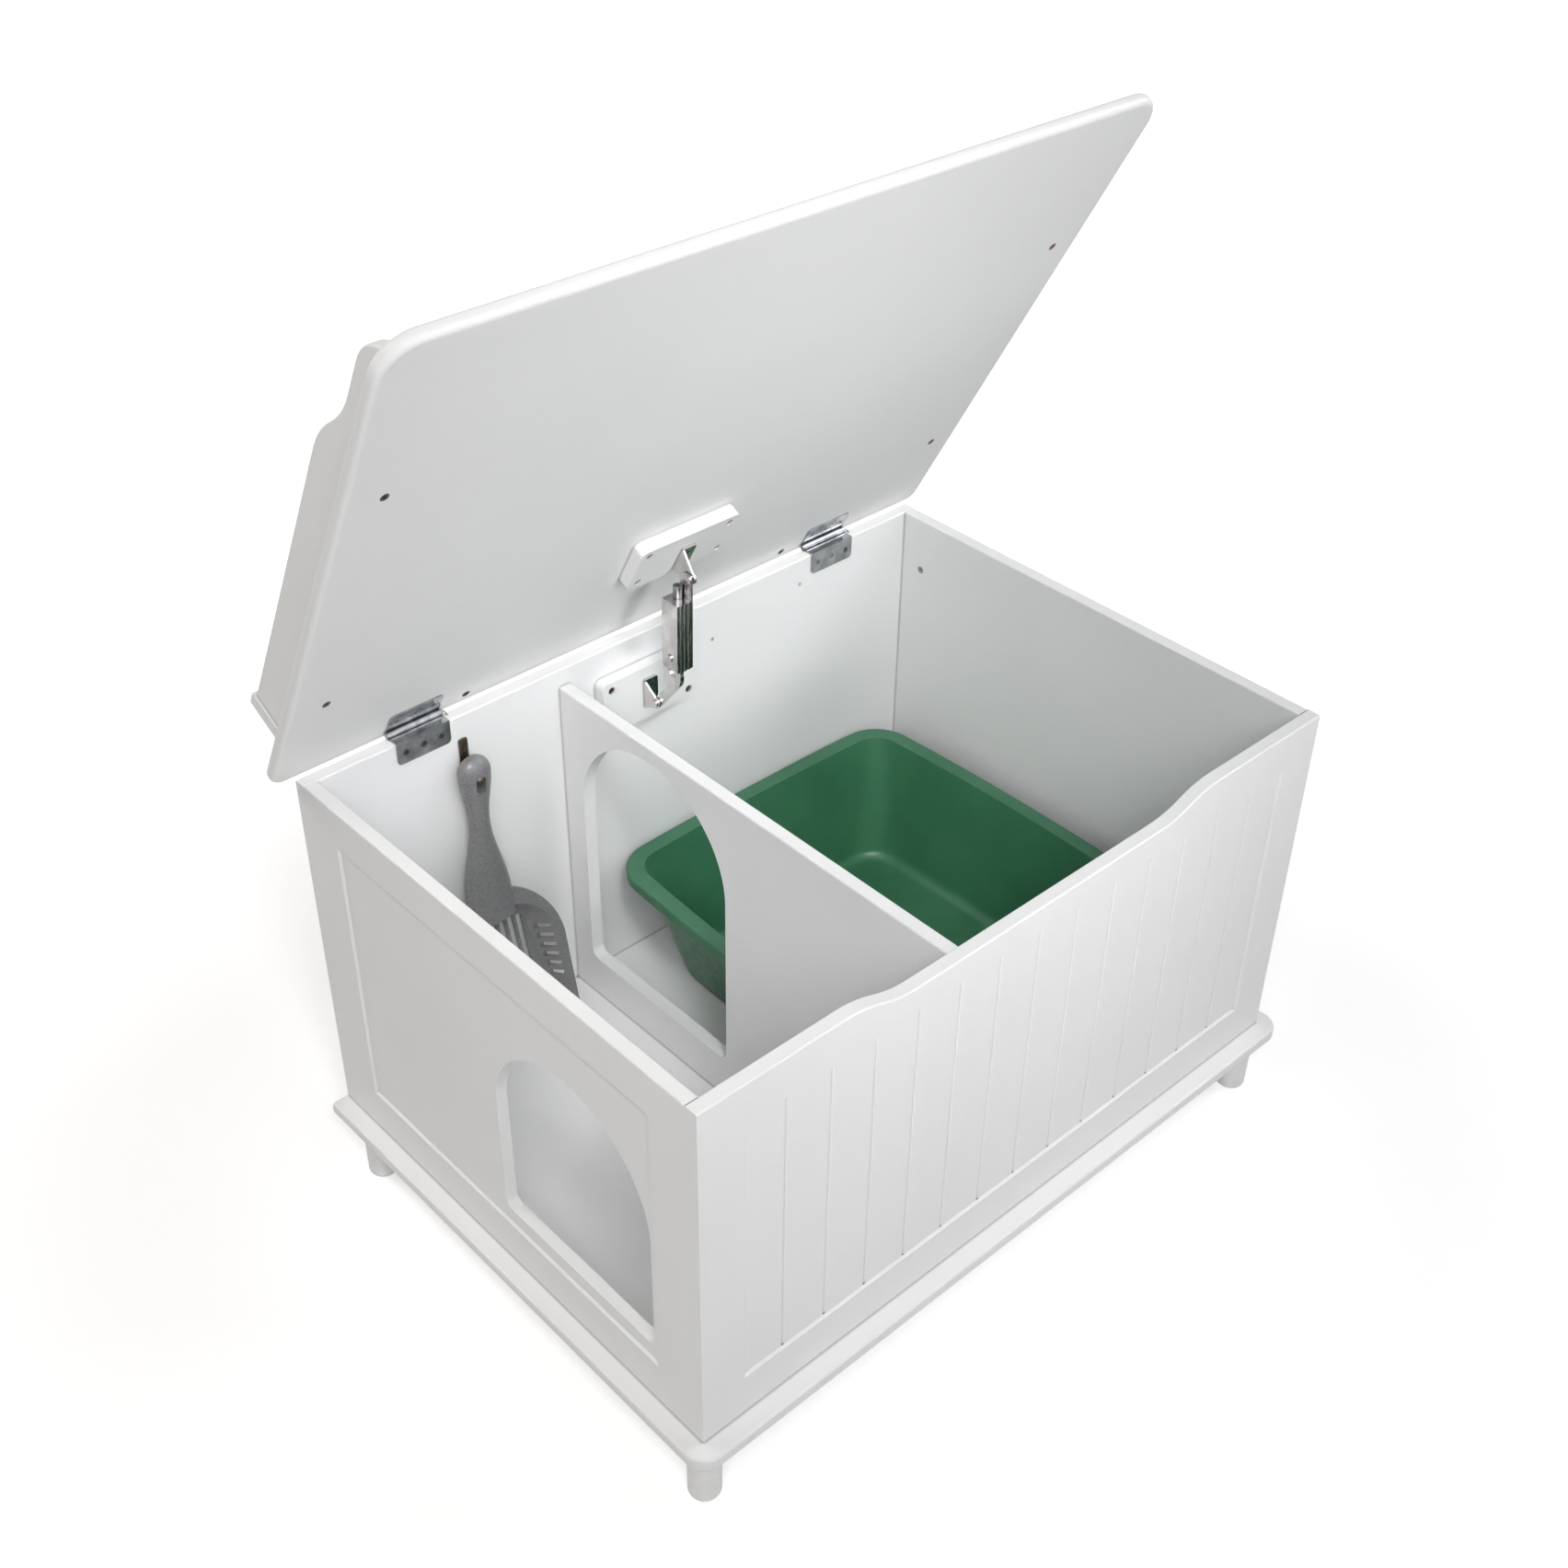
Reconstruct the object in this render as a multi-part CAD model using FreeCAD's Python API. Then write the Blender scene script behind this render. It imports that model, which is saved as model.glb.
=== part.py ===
import FreeCAD, Part
import math
import os

# Cat litter box cabinet, in millimetres. The front looks along -Y, the cat door is at -X,
# the lid is hinged along the rear, and z = 0 is the floor under the feet. The pieces are
# worked out with y = 0 in the middle of the panels, and saved with the origin in the middle
# of the whole.

Vec = FreeCAD.Vector
X_AXIS, Y_AXIS, Z_AXIS = Vec(1, 0, 0), Vec(0, 1, 0), Vec(0, 0, 1)

# Carcass
board = 12.0                  # thickness of every panel
body_width = 660.0
body_height = 338.0
edge_round = 1.5              # softened top edges of the panels
origin_back = 24.3            # from the panels' middle back to the middle of the whole, lid open

# Base plate and feet
base_thick = 12.0
base_side_overhang = 16.0
base_front_overhang = 17.0
base_corner_radius = 18.0
base_edge_round = 2.5
foot_height = 39.0
foot_radius = 13.0
foot_bottom_round = 3.0
foot_left_inset = 15.0        # from the base plate's edges to the feet's middles
foot_right_inset = 46.0
foot_front_inset = 15.0
foot_rear_inset = 48.0
spigot_radius = 5.0
spigot_length = 9.0

# Front panel
scallop_drop = 14.0
scallop_flat_half = 130.0     # half length of the lowered middle of the top edge
scallop_step = 70.0           # length of each S-shaped step
field_margin = 40.0           # frame left around each recessed field
field_margin_top = 37.0
field_margin_side = 50.0      # frame at the front and rear of the side panels
field_depth = 2.0
groove_count = 13
groove_pitch = 41.8
groove_width = 3.2
groove_depth = 1.2

# Cat door in the left panel, and the doorway in the divider
door_width = 180.0
door_sill = 56.0              # above the top of the base plate
door_height = 201.0
door_from_front = 133.0        # from the front panel's inner face to the door's middle
door_corner_radius = 9.0
divider_drop = 16.5           # how far its top lies below the body's top
doorway_width = 183.0
doorway_sill = 43.0
doorway_head = 13.5           # wood left above the doorway
doorway_from_rear = 117.0     # from the rear panel's inner face to the doorway's middle

# Lid
lid_side_overhang = 18.0      # past the body's sides
lid_depth_beyond = 28.0       # how much deeper than the body the lid is
lid_thick = 12.0
lid_front_radius = 30.0
lid_rear_radius = 12.0
lid_edge_round = 5.0
lid_open_deg = 61.5           # from level to the photographed stop

# Gallery on the lid
rail_thick = 12.0
rail_inset_side = 26.0
rail_inset_rear = 7.0
back_rail_overhang = 2.5      # how far the back rail's ends stand past the side rails
rail_high = 57.0
rail_low = 37.0
back_rail_height = 60.0
rail_step_from_front = 142.0  # from the rail's front end back to where its step starts
rail_step_length = 75.0
rail_short_of_lid = 36.0      # how much shorter than the lid the side rails are
rail_end_radius = 34.0
rail_round = 2.0
rail_screw_runs = (100.0, 348.0)
back_rail_screw_x = 171.5

# Hinges
hinge_inset = 107.5           # from the body's sides to the hinges' middles
hinge_length = 50.0
leaf_thick = 1.2
barrel_radius = 2.8
pin_radius = 1.5
pin_clearance = 0.05
pin_head_radius = 2.4
pin_head_thick = 1.2
leaf_width = 20.0
leaf_corner_radius = 4.0
knuckle_splits = (26.0, 38.0)  # from the hinge's left end
knuckle_gap = 0.3
axis_from_lid = 3.5           # from the hinge axis to the lid's underside
axis_from_lid_edge = 9.0
axis_inside_rear = 1.0        # from the body's rear face to the hinge axis
hinge_screw_pitch = 17.0

# Wood screws: head radius, head height, shank radius
small_screw = (2.9, 1.2, 1.4)
board_screw = (3.6, 3.0, 1.8)
strap_screw = (2.2, 1.0, 1.1)
small_screw_length = 9.0
strap_screw_length = 8.0
board_screw_length = 24.0
cross_width = 0.8

# Lid stay
block_width = 103.0
block_height = 51.5
block_thick = 12.0
block_corner_radius = 6.0
block_hole_pitch_x = 84.0
block_hole_pitch_z = 35.0
block_screw_sink = 2.0
block_screw_length = 18.0
lid_block_from_divider = 84.8
lid_block_run = 120.3         # its centre, from the lid's rear edge
wall_block_from_divider = 75.8
wall_block_z = 285.8          # its centre, above the top of the base plate
bracket_thick = 2.0
bracket_base_length = 28.0
bracket_base_width = 14.5
bracket_screw_across = 8.0    # from the wing's outer face to the screw
bracket_screw_up = 7.5        # from the middle of the base to the screw
lid_bracket_reach = 20.2      # from the block's face to the pivot
wall_bracket_reach = 15.5
bracket_drop = 2.2            # from the middle of the base down to the pivot
bracket_tip_radius = 5.0
bracket_base_round = 2.0
bracket_screw_length = 10.0
lid_bracket_from_divider = 79.2
lid_bracket_run = 115.0
wall_bracket_from_divider = 67.4
wall_bracket_z = 285.8
stay_width = 16.5
stay_depth = 19.8
stay_length = 65.2
stay_wall = 1.5
stay_tilt_deg = 1.3
stay_top_drop = 19.0          # from the lid pivot down to the housing's top
stay_front_set = -3.2         # from the lid pivot back to the housing's front
rib_count = 3
rib_height = 0.8
rib_width = 1.6
elbow_drop = 73.5
elbow_set = 7.1
arm_thick = 4.0
side_gap = 0.4                # between the flat faces of stay parts that turn past each other
arm_end_radius = 4.3
arm_hub_radius = 8.0
arm_rear = 18.7               # rear corner of the arm, behind and below its elbow
arm_rear_drop = 19.0
knee_forward = 4.0            # how far the arm's knee bulges ahead of its elbow
knee_drop = 25.5
knee_reach = 7.0              # from the knee's middle to its ends, up and down
inner_bend_rear = 15.2
inner_bend_drop = 39.5
arm_hole_radius = 5.3
arm_hole_rear = 5.6
arm_hole_drop = 19.0
rivet_radius = 2.0
rivet_head_radius = 3.4
rivet_head_thick = 1.4
rivet_clearance = 0.05
adjuster_radius = 3.0
adjuster_head_radius = 4.0
adjuster_head_height = 11.0
adjuster_right = 2.7          # from the housing's middle
adjuster_rear = 2.5
adjuster_depth = 20.0
adjuster_slot_depth = 1.2
ear_top = 4.0                 # above the pivot
ear_rear_set = 5.1            # from the ear's rear edge to the housing's rear face
ear_slant = 5.0               # cut-off corner at the ear's top rear

# Litter pan
pan_width = 352.0
pan_length = 426.0
pan_height = 120.0
pan_wall = 2.5
pan_rim_width = 13.0
pan_lip_height = 9.0
pan_draft = 29.0              # how far each wall leans out from base to rim
pan_bow_long = 8.0
pan_bow_short = 4.0
pan_corner_radius = 40.0
pan_base_corner_radius = 34.0
pan_floor_round = 14.0
pan_room_left = 18.0          # free floor between the pan's rim and the walls round it
pan_room_right = 25.0
pan_room_front = 15.0
pan_room_rear = 5.0
pan_floor_clear = 0.3

# Scoop and the strap it hangs on; heights are above the top of the base plate
scoop_from_divider = 98.0
scoop_top_z = 305.0
scoop_back_gap = 3.0          # from the rear panel to the back of the handle
bulb_width = 30.0
bulb_thick = 20.0
bulb_half_height = 16.0
# Sections of the handle below the bulb's middle: height, width, thickness, and how far their
# middles stand off the rear panel
handle_sections = ((285.0, 29.5, 19.5, 13.0), (262.0, 23.5, 16.0, 13.0),
                   (238.0, 20.0, 13.0, 13.0), (205.0, 30.5, 15.0, 14.0),
                   (171.0, 44.0, 17.0, 16.0), (137.0, 49.0, 18.0, 18.0))
bowl_lip_z = 18.0             # open lower end of the bowl
bowl_wall = 2.5
bowl_depth = 15.5             # from the rim to the floor
floor_deep_gap = 10.0         # from the rear panel to the floor's face, at floor_deep_z
floor_deep_z = 128.0
floor_slope = 0.24            # how fast floor and rim come forward towards the lip
# Half outlines as (half width, height): lip end, shoulder, middle of the round, neck
rim_shape = ((62.5, bowl_lip_z), (64.0, 98.0), (54.0, 130.0), (20.0, 161.0))
floor_shape = ((52.0, bowl_lip_z), (39.0, 108.0), (34.0, 128.0), (20.0, 141.0))
# Which way each of the four places moves when an outline is drawn in by one unit
inward_ways = ((0.5, 0.0), (1.0, 0.1), (0.9, 0.85), (0.3, 2.4))
rim_band = 7.0                # width of the flat rim round the bowl
rim_thick = 2.5
bowl_slot_count = 8
bowl_slot_width = 5.2
bowl_slot_pitch = 8.65
bowl_slot_top_z = 132.0
bowl_slot_bottom_z = 30.0
bowl_slot_step = 0.35         # how much lower a slot's top is, per unit away from the middle
side_slot_count = 6
side_slot_pitch = 9.7
side_slot_width = 5.2
side_slot_top_z = 108.0
side_slot_margin = 3.0        # wall left between a side slot and the floor or the rim
scoop_hole_drop = 16.0        # from the scoop's top to the top of its hanging hole
scoop_hole_width = 9.0
scoop_hole_height = 16.0
strap_width = 8.0
strap_thick = 1.6
strap_top_z = 316.0
strap_bottom_z = 274.0
peg_radius = 3.0
peg_tip_beyond = 0.0
peg_clear = 0.3
strap_screw_drops = (8.0, 13.5)

# Small marks on the inner faces
pilot_radius = 2.0
pilot_depth = 7.0
pilot_holes = ((79.0, 297.6), (184.0, 312.5))   # x, and height above the base plate
side_screw_from_rear = 24.0
side_screw_z = 286.0

# Places that follow from the sizes
base_top = foot_height + base_thick
body_top = base_top + body_height
body_depth = pan_length + pan_room_front + pan_room_rear + 2 * board
half_width = body_width / 2
half_depth = body_depth / 2
front_inner = -half_depth + board
rear_inner = half_depth - board
side_inner = half_width - board
pan_centre_x = side_inner - pan_room_right - pan_width / 2
pan_centre_y = rear_inner - pan_room_rear - pan_length / 2
divider_left_x = pan_centre_x - pan_width / 2 - pan_room_left - board
divider_right_x = divider_left_x + board
divider_top = body_top - divider_drop
lid_block_x = divider_right_x + lid_block_from_divider
wall_block_x = divider_right_x + wall_block_from_divider
lid_bracket_x = divider_right_x + lid_bracket_from_divider
wall_bracket_x = divider_right_x + wall_bracket_from_divider
lid_width = body_width + 2 * lid_side_overhang
lid_depth = body_depth + lid_depth_beyond
rail_length = lid_depth - rail_short_of_lid
rail_step_start = rail_length - rail_step_from_front
hinge_x = half_width - hinge_inset
scoop_x = divider_left_x - scoop_from_divider
axis_y = half_depth - axis_inside_rear
axis_z = body_top + barrel_radius
lid_under = axis_z + axis_from_lid
lid_rear = axis_y + axis_from_lid_edge
hinge_axis = Vec(0, axis_y, axis_z)


def save(name, shape):
    """Write one sub-part as parts/NAME.step, standing over the origin."""
    standing = shape.copy()
    standing.translate(Vec(0, -origin_back, 0))
    standing.exportStep("parts/%s.step" % name)


def box(x0, x1, y0, y1, z0, z1):
    return Part.makeBox(x1 - x0, y1 - y0, z1 - z0, Vec(x0, y0, z0))


def rod(radius, length, start, direction):
    return Part.makeCylinder(radius, length, start, direction)


def outline(points):
    """Closed wire of lines through points; an item ("arc", middle, end) adds an arc."""
    edges = []
    here = points[0]
    for item in points[1:]:
        if isinstance(item, tuple):
            edges.append(Part.Arc(here, item[1], item[2]).toShape())
            here = item[2]
        else:
            edges.append(Part.LineSegment(here, item).toShape())
            here = item
    if here.distanceToPoint(points[0]) > 1e-6:
        edges.append(Part.LineSegment(here, points[0]).toShape())
    return Part.Wire(edges)


def slab(wire, along):
    return Part.Face(wire).extrude(along)


def rounded_plate(centre, across, upward, width, height, radius, along):
    """Rectangle with four rounded corners, pushed along a vector."""
    plate = slab(outline([centre - across * (width / 2) - upward * (height / 2),
                          centre + across * (width / 2) - upward * (height / 2),
                          centre + across * (width / 2) + upward * (height / 2),
                          centre - across * (width / 2) + upward * (height / 2)]), along)
    return round_edges(plate, radius, parallel_to(along))


def parallel_to(direction):
    """Test for straight edges along a direction."""
    axis = Vec(direction)
    axis.normalize()

    def test(edge):
        run = edge.Vertexes[-1].Point - edge.Vertexes[0].Point
        if edge.Curve.TypeId != "Part::GeomLine" or run.Length < 1e-6:
            return False
        return abs(run.dot(axis)) > 0.9999 * run.Length
    return test


def round_edges(shape, radius, wanted):
    return shape.makeFillet(radius, [edge for edge in shape.Edges if wanted(edge)])


def placed(shape, origin, direction, twist_deg=0.0):
    """Move a shape built on +Z so that its Z runs along direction from origin."""
    turned = shape.copy()
    turned.rotate(Vec(0, 0, 0), Z_AXIS, twist_deg)
    turned.Placement = FreeCAD.Placement(origin, FreeCAD.Rotation(Z_AXIS, direction)).multiply(
        turned.Placement)
    return turned


def opened(shape):
    """Swing a piece of the closed lid up to the photographed stop."""
    turned = shape.copy()
    turned.rotate(hinge_axis, X_AXIS, -lid_open_deg)
    return turned


def screw(sizes, length, at, inward, twist_deg=20.0):
    """Countersunk cross-head screw whose head is flush at a point; gives screw and hole."""
    head_radius, head_height, shank_radius = sizes
    head = Part.makeCone(head_radius, shank_radius, head_height)
    body = head.fuse(Part.makeCylinder(shank_radius, length - head_height, Vec(0, 0, head_height)))
    arm = head_radius * 0.6
    slot_depth = head_height * 0.6
    slot = box(-arm, arm, -cross_width / 2, cross_width / 2, 0, slot_depth)
    cross = slot.fuse(box(-cross_width / 2, cross_width / 2, -arm, arm, 0, slot_depth))
    return (placed(body.cut(cross), at, inward, twist_deg), placed(body, at, inward, twist_deg))


def arched_opening(centre_y, sill_z, width, height, x0, x1):
    """Doorway cutter with a half-round head and small bottom corners."""
    radius = width / 2
    spring_z = sill_z + height - radius
    left, right = centre_y - radius, centre_y + radius
    wire = outline([Vec(x0, left, spring_z), Vec(x0, left, sill_z), Vec(x0, right, sill_z),
                    Vec(x0, right, spring_z),
                    ("arc", Vec(x0, centre_y, spring_z + radius), Vec(x0, left, spring_z))])
    cutter = slab(wire, Vec(x1 - x0, 0, 0))

    def bottom_corner(edge):
        return parallel_to(X_AXIS)(edge) and abs(edge.Vertexes[0].Z - sill_z) < 1e-6
    return round_edges(cutter, door_corner_radius, bottom_corner)


def sunk_field(middle, inward, half, low, high):
    """Cutter for a recessed field: a shallow pocket with sides sloped at 45 degrees."""
    sideways = Z_AXIS.cross(inward)

    def ring(depth):
        corners = [(-half + depth, low + depth), (half - depth, low + depth),
                   (half - depth, high - depth), (-half + depth, high - depth)]
        return outline([middle + sideways * a + Z_AXIS * z + inward * depth for a, z in corners])
    return Part.makeLoft([ring(-1.0), ring(field_depth)], True, True)


# ---------------------------------------------------------------- carcass

def make_base_plate():
    front = -half_depth - base_front_overhang
    side = half_width + base_side_overhang
    plate = box(-side, side, front, half_depth, foot_height, base_top)

    def front_corner(edge):
        return parallel_to(Z_AXIS)(edge) and edge.Vertexes[0].Y < 0
    plate = round_edges(plate, base_corner_radius, front_corner)

    def rim(edge):
        level = abs(edge.Vertexes[0].Z - edge.Vertexes[-1].Z) < 1e-6
        at_rear = all(abs(vertex.Y - half_depth) < 1e-6 for vertex in edge.Vertexes)
        return level and not at_rear
    plate = round_edges(plate, base_edge_round, rim)
    for x, y in foot_places().values():
        plate = plate.cut(rod(spigot_radius, spigot_length, Vec(x, y, foot_height), Z_AXIS))
    return plate


def foot_places():
    left = -half_width - base_side_overhang + foot_left_inset
    right = half_width + base_side_overhang - foot_right_inset
    front = -half_depth - base_front_overhang + foot_front_inset
    rear = half_depth - foot_rear_inset
    return {"foot_front_left": (left, front), "foot_front_right": (right, front),
            "foot_rear_left": (left, rear), "foot_rear_right": (right, rear)}


def make_foot(x, y):
    peg = rod(foot_radius, foot_height, Vec(x, y, 0), Z_AXIS)
    peg = round_edges(peg, foot_bottom_round,
                      lambda edge: edge.Closed and edge.Vertexes[0].Z < 1e-6)
    return peg.fuse(rod(spigot_radius, spigot_length, Vec(x, y, foot_height), Z_AXIS))


def s_step(start, end):
    """Two equal arcs that leave one level line and join another, as outline items."""
    middle = (start + end) * 0.5
    run, rise = end.x - start.x + end.y - start.y, end.z - start.z
    radius = (run * run + rise * rise) / (4 * abs(rise))
    half_turn = math.asin(abs(run) / 2 / radius) / 2
    along = Vec(end.x - start.x, end.y - start.y, 0)
    along.normalize()
    bulge_run = radius * math.sin(half_turn)
    bulge_rise = radius * (1 - math.cos(half_turn)) * (1 if rise > 0 else -1)
    first = start + along * bulge_run + Z_AXIS * bulge_rise
    second = end - along * bulge_run - Z_AXIS * bulge_rise
    return [("arc", first, middle), ("arc", second, end)]


def make_front_panel():
    y = -half_depth
    flat, step = scallop_flat_half, scallop_flat_half + scallop_step
    low_top = body_top - scallop_drop
    points = [Vec(-half_width, y, base_top), Vec(half_width, y, base_top),
              Vec(half_width, y, body_top), Vec(step, y, body_top)]
    points += s_step(Vec(step, y, body_top), Vec(flat, y, low_top))
    points.append(Vec(-flat, y, low_top))
    points += s_step(Vec(-flat, y, low_top), Vec(-step, y, body_top))
    points.append(Vec(-half_width, y, body_top))
    panel = slab(outline(points), Vec(0, board, 0))

    def top_edge(edge):
        ends = edge.Vertexes
        runs_along_x = abs(ends[0].X - ends[-1].X) > 1.0
        return runs_along_x and min(end.Z for end in ends) > low_top - 1e-6
    panel = round_edges(panel, edge_round, top_edge)
    field_top = body_top - field_margin_top
    field_low = base_top + field_margin
    field_half = half_width - field_margin
    panel = panel.cut(sunk_field(Vec(0, y, 0), Y_AXIS, field_half, field_low, field_top))
    for index in range(groove_count):
        x = (index - (groove_count - 1) / 2) * groove_pitch
        panel = panel.cut(v_groove(x, y + field_depth, field_low, field_top))
    return panel


def v_groove(x, face_y, low, high):
    """Upright V-shaped groove cut into the recessed front face."""
    half = groove_width / 2
    wire = outline([Vec(x - half, face_y, low), Vec(x, face_y + groove_depth, low),
                    Vec(x + half, face_y, low)])
    return slab(wire, Vec(0, 0, high - low))


def upright_panel(x0, x1, y0, y1, top):
    """Plain standing board with softened long top edges."""
    panel = box(x0, x1, y0, y1, base_top, top)
    along = X_AXIS if x1 - x0 > y1 - y0 else Y_AXIS
    return round_edges(panel, edge_round,
                       lambda edge: parallel_to(along)(edge) and edge.Vertexes[0].Z > top - 1e-6)


def make_rear_panel():
    panel = upright_panel(-half_width, half_width, rear_inner, half_depth, body_top)
    for x, height in pilot_holes:
        panel = panel.cut(rod(pilot_radius, pilot_depth, Vec(x, rear_inner, base_top + height), Y_AXIS))
    return panel


def make_side_panel(side):
    """Side panel between front and rear, framed outside; side is -1 for left, 1 for right."""
    outer, inner = sorted((side * side_inner, side * half_width))
    panel = upright_panel(outer, inner, front_inner, rear_inner, body_top)
    return panel.cut(sunk_field(Vec(side * half_width, 0, 0), Vec(-side, 0, 0),
                                half_depth - field_margin_side, base_top + field_margin,
                                body_top - field_margin_top))


def make_left_panel():
    panel = make_side_panel(-1)
    return panel.cut(arched_opening(front_inner + door_from_front, base_top + door_sill, door_width,
                                    door_height, -half_width - 1, -side_inner + 1))


def make_divider():
    panel = upright_panel(divider_left_x, divider_right_x, front_inner, rear_inner, divider_top)
    sill = base_top + doorway_sill
    return panel.cut(arched_opening(rear_inner - doorway_from_rear, sill, doorway_width,
                                    divider_top - doorway_head - sill, divider_left_x - 1,
                                    divider_right_x + 1))


# ---------------------------------------------------------------- lid, built closed

def lid_point(x, run, height=0.0):
    """Point on the closed lid: run from its rear edge, height above its underside."""
    return Vec(x, lid_rear - run, lid_under + height)


def make_lid_board():
    half = lid_width / 2
    lid = box(-half, half, lid_rear - lid_depth, lid_rear, lid_under, lid_under + lid_thick)
    upright = parallel_to(Z_AXIS)
    lid = round_edges(lid, lid_front_radius, lambda edge: upright(edge) and edge.Vertexes[0].Y < 0)
    lid = round_edges(lid, lid_rear_radius, lambda edge: upright(edge) and edge.Vertexes[0].Y > 0)
    return round_edges(lid, lid_edge_round,
                       lambda edge: abs(edge.Vertexes[0].Z - edge.Vertexes[-1].Z) < 1e-6)


def side_rail_start():
    return rail_inset_rear + rail_thick


def make_side_rail(side):
    """Gallery side: high at the rear, an S-shaped step, then low to a rounded front end."""
    x = side * (lid_width / 2 - rail_inset_side)
    step_end = rail_step_start + rail_step_length

    def at(run, height):
        return lid_point(x, run, lid_thick + height)
    corner = rail_end_radius * (1 - math.sqrt(0.5))
    points = [at(side_rail_start(), 0), at(side_rail_start(), rail_high), at(rail_step_start, rail_high)]
    points += s_step(at(rail_step_start, rail_high), at(step_end, rail_low))
    points.append(at(rail_length - rail_end_radius, rail_low))
    points.append(("arc", at(rail_length - corner, rail_low - corner),
                   at(rail_length, rail_low - rail_end_radius)))
    points.append(at(rail_length, 0))
    rail = slab(outline(points), Vec(-side * rail_thick, 0, 0))

    def top_edge(edge):
        on_face = max(abs(vertex.X - edge.Vertexes[0].X) for vertex in edge.Vertexes) < 1e-6
        middle = edge.valueAt((edge.FirstParameter + edge.LastParameter) / 2)
        at_start = abs(middle.y - (lid_rear - side_rail_start())) < 1e-6
        return on_face and middle.z > lid_under + lid_thick + 1e-3 and not at_start
    return round_edges(rail, rail_round, top_edge)


def make_back_rail():
    half = lid_width / 2 - rail_inset_side + back_rail_overhang
    start = lid_point(-half, rail_inset_rear + rail_thick, lid_thick)
    rail = Part.makeBox(2 * half, rail_thick, back_rail_height, start)

    def top_edge(edge):
        return min(vertex.Z for vertex in edge.Vertexes) > start.z + back_rail_height - 1e-6
    return round_edges(rail, rail_round, top_edge)


def rail_screw_places():
    side_x = lid_width / 2 - rail_inset_side - rail_thick / 2
    places = [(side * side_x, run) for side in (-1, 1) for run in rail_screw_runs]
    back_run = rail_inset_rear + rail_thick / 2
    return places + [(side * back_rail_screw_x, back_run) for side in (-1, 1)]


def make_rail_screws():
    return [screw(board_screw, board_screw_length, lid_point(x, run), Z_AXIS)
            for x, run in rail_screw_places()]


# ---------------------------------------------------------------- hinges

def knuckle(x0, x1):
    start = Vec(x0, axis_y, axis_z)
    bore = rod(pin_radius + pin_clearance, x1 - x0, start, X_AXIS)
    return rod(barrel_radius, x1 - x0, start, X_AXIS).cut(bore)


def barrel_space(x0, x1):
    """Room that a leaf leaves for the other leaf's knuckle."""
    reach = barrel_radius + knuckle_gap
    return rod(reach, x1 - x0, Vec(x0, axis_y, axis_z), X_AXIS)


def knuckle_spans(left):
    first, second = left + knuckle_splits[0], left + knuckle_splits[1]
    return (left, first), (first, second), (second, left + hinge_length)


def hinge_screw_xs(centre_x):
    return [centre_x + step * hinge_screw_pitch for step in (-1, 0, 1)]


def make_wall_leaf(centre_x, holes):
    """Leaf that lies on the rear panel's top and turns down its inner face."""
    left, right = centre_x - hinge_length / 2, centre_x + hinge_length / 2
    inner = rear_inner - leaf_thick
    flat = box(left, right, inner, axis_y, body_top, body_top + leaf_thick)
    drop = box(left, right, inner, rear_inner, body_top - leaf_width, body_top + leaf_thick)

    def low_corner(edge):
        return parallel_to(Y_AXIS)(edge) and edge.Vertexes[0].Z < body_top - leaf_width + 1e-6
    leaf = flat.fuse(round_edges(drop, leaf_corner_radius, low_corner))
    first, middle, last = knuckle_spans(left)
    leaf = leaf.cut(barrel_space(middle[0] - knuckle_gap, middle[1] + knuckle_gap))
    leaf = leaf.cut(rod(pin_radius + pin_clearance, hinge_length, Vec(left, axis_y, axis_z), X_AXIS))
    for span in (first, last):
        leaf = leaf.fuse(knuckle(*span))
    return cut_all(leaf, holes).removeSplitter()


def make_lid_leaf(centre_x, holes):
    left, right = centre_x - hinge_length / 2, centre_x + hinge_length / 2
    leaf = box(left, right, axis_y - barrel_radius - leaf_width, axis_y,
               lid_under - leaf_thick, lid_under)

    def front_corner(edge):
        return parallel_to(Z_AXIS)(edge) and edge.Vertexes[0].Y < axis_y - leaf_width
    leaf = round_edges(leaf, leaf_corner_radius, front_corner)
    first, middle, last = knuckle_spans(left)
    leaf = leaf.cut(barrel_space(left, first[1] + knuckle_gap))
    leaf = leaf.cut(barrel_space(last[0] - knuckle_gap, right))
    ring = knuckle(middle[0] + knuckle_gap, middle[1] - knuckle_gap)
    bore = rod(pin_radius + pin_clearance, hinge_length, Vec(left, axis_y, axis_z), X_AXIS)
    return cut_all(leaf.cut(bore).fuse(ring), holes).removeSplitter()


def make_hinge_pin(centre_x):
    left, right = centre_x - hinge_length / 2, centre_x + hinge_length / 2
    pin = rod(pin_radius, hinge_length, Vec(left, axis_y, axis_z), X_AXIS)
    for start in (left - pin_head_thick, right):
        pin = pin.fuse(rod(pin_head_radius, pin_head_thick, Vec(start, axis_y, axis_z), X_AXIS))
    return pin


def cut_all(shape, cutters):
    for cutter in cutters:
        shape = shape.cut(cutter)
    return shape


# ---------------------------------------------------------------- lid stay

def block_holes(centre, across, upward):
    return [centre + across * (a * block_hole_pitch_x / 2) + upward * (b * block_hole_pitch_z / 2)
            for a in (-1, 1) for b in (-1, 1)]


def make_block(centre, across, upward, inward):
    """Mounting block with four counterbored holes; centre is on its visible face."""
    block = rounded_plate(centre, across, upward, block_width, block_height, block_corner_radius,
                          inward * block_thick)
    head_radius = board_screw[0]
    for hole in block_holes(centre, across, upward):
        block = block.cut(rod(head_radius, block_screw_sink, hole, inward))
    return block


def block_screws(centre, across, upward, inward):
    return [screw(board_screw, block_screw_length, hole + inward * block_screw_sink, inward)
            for hole in block_holes(centre, across, upward)]


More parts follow.
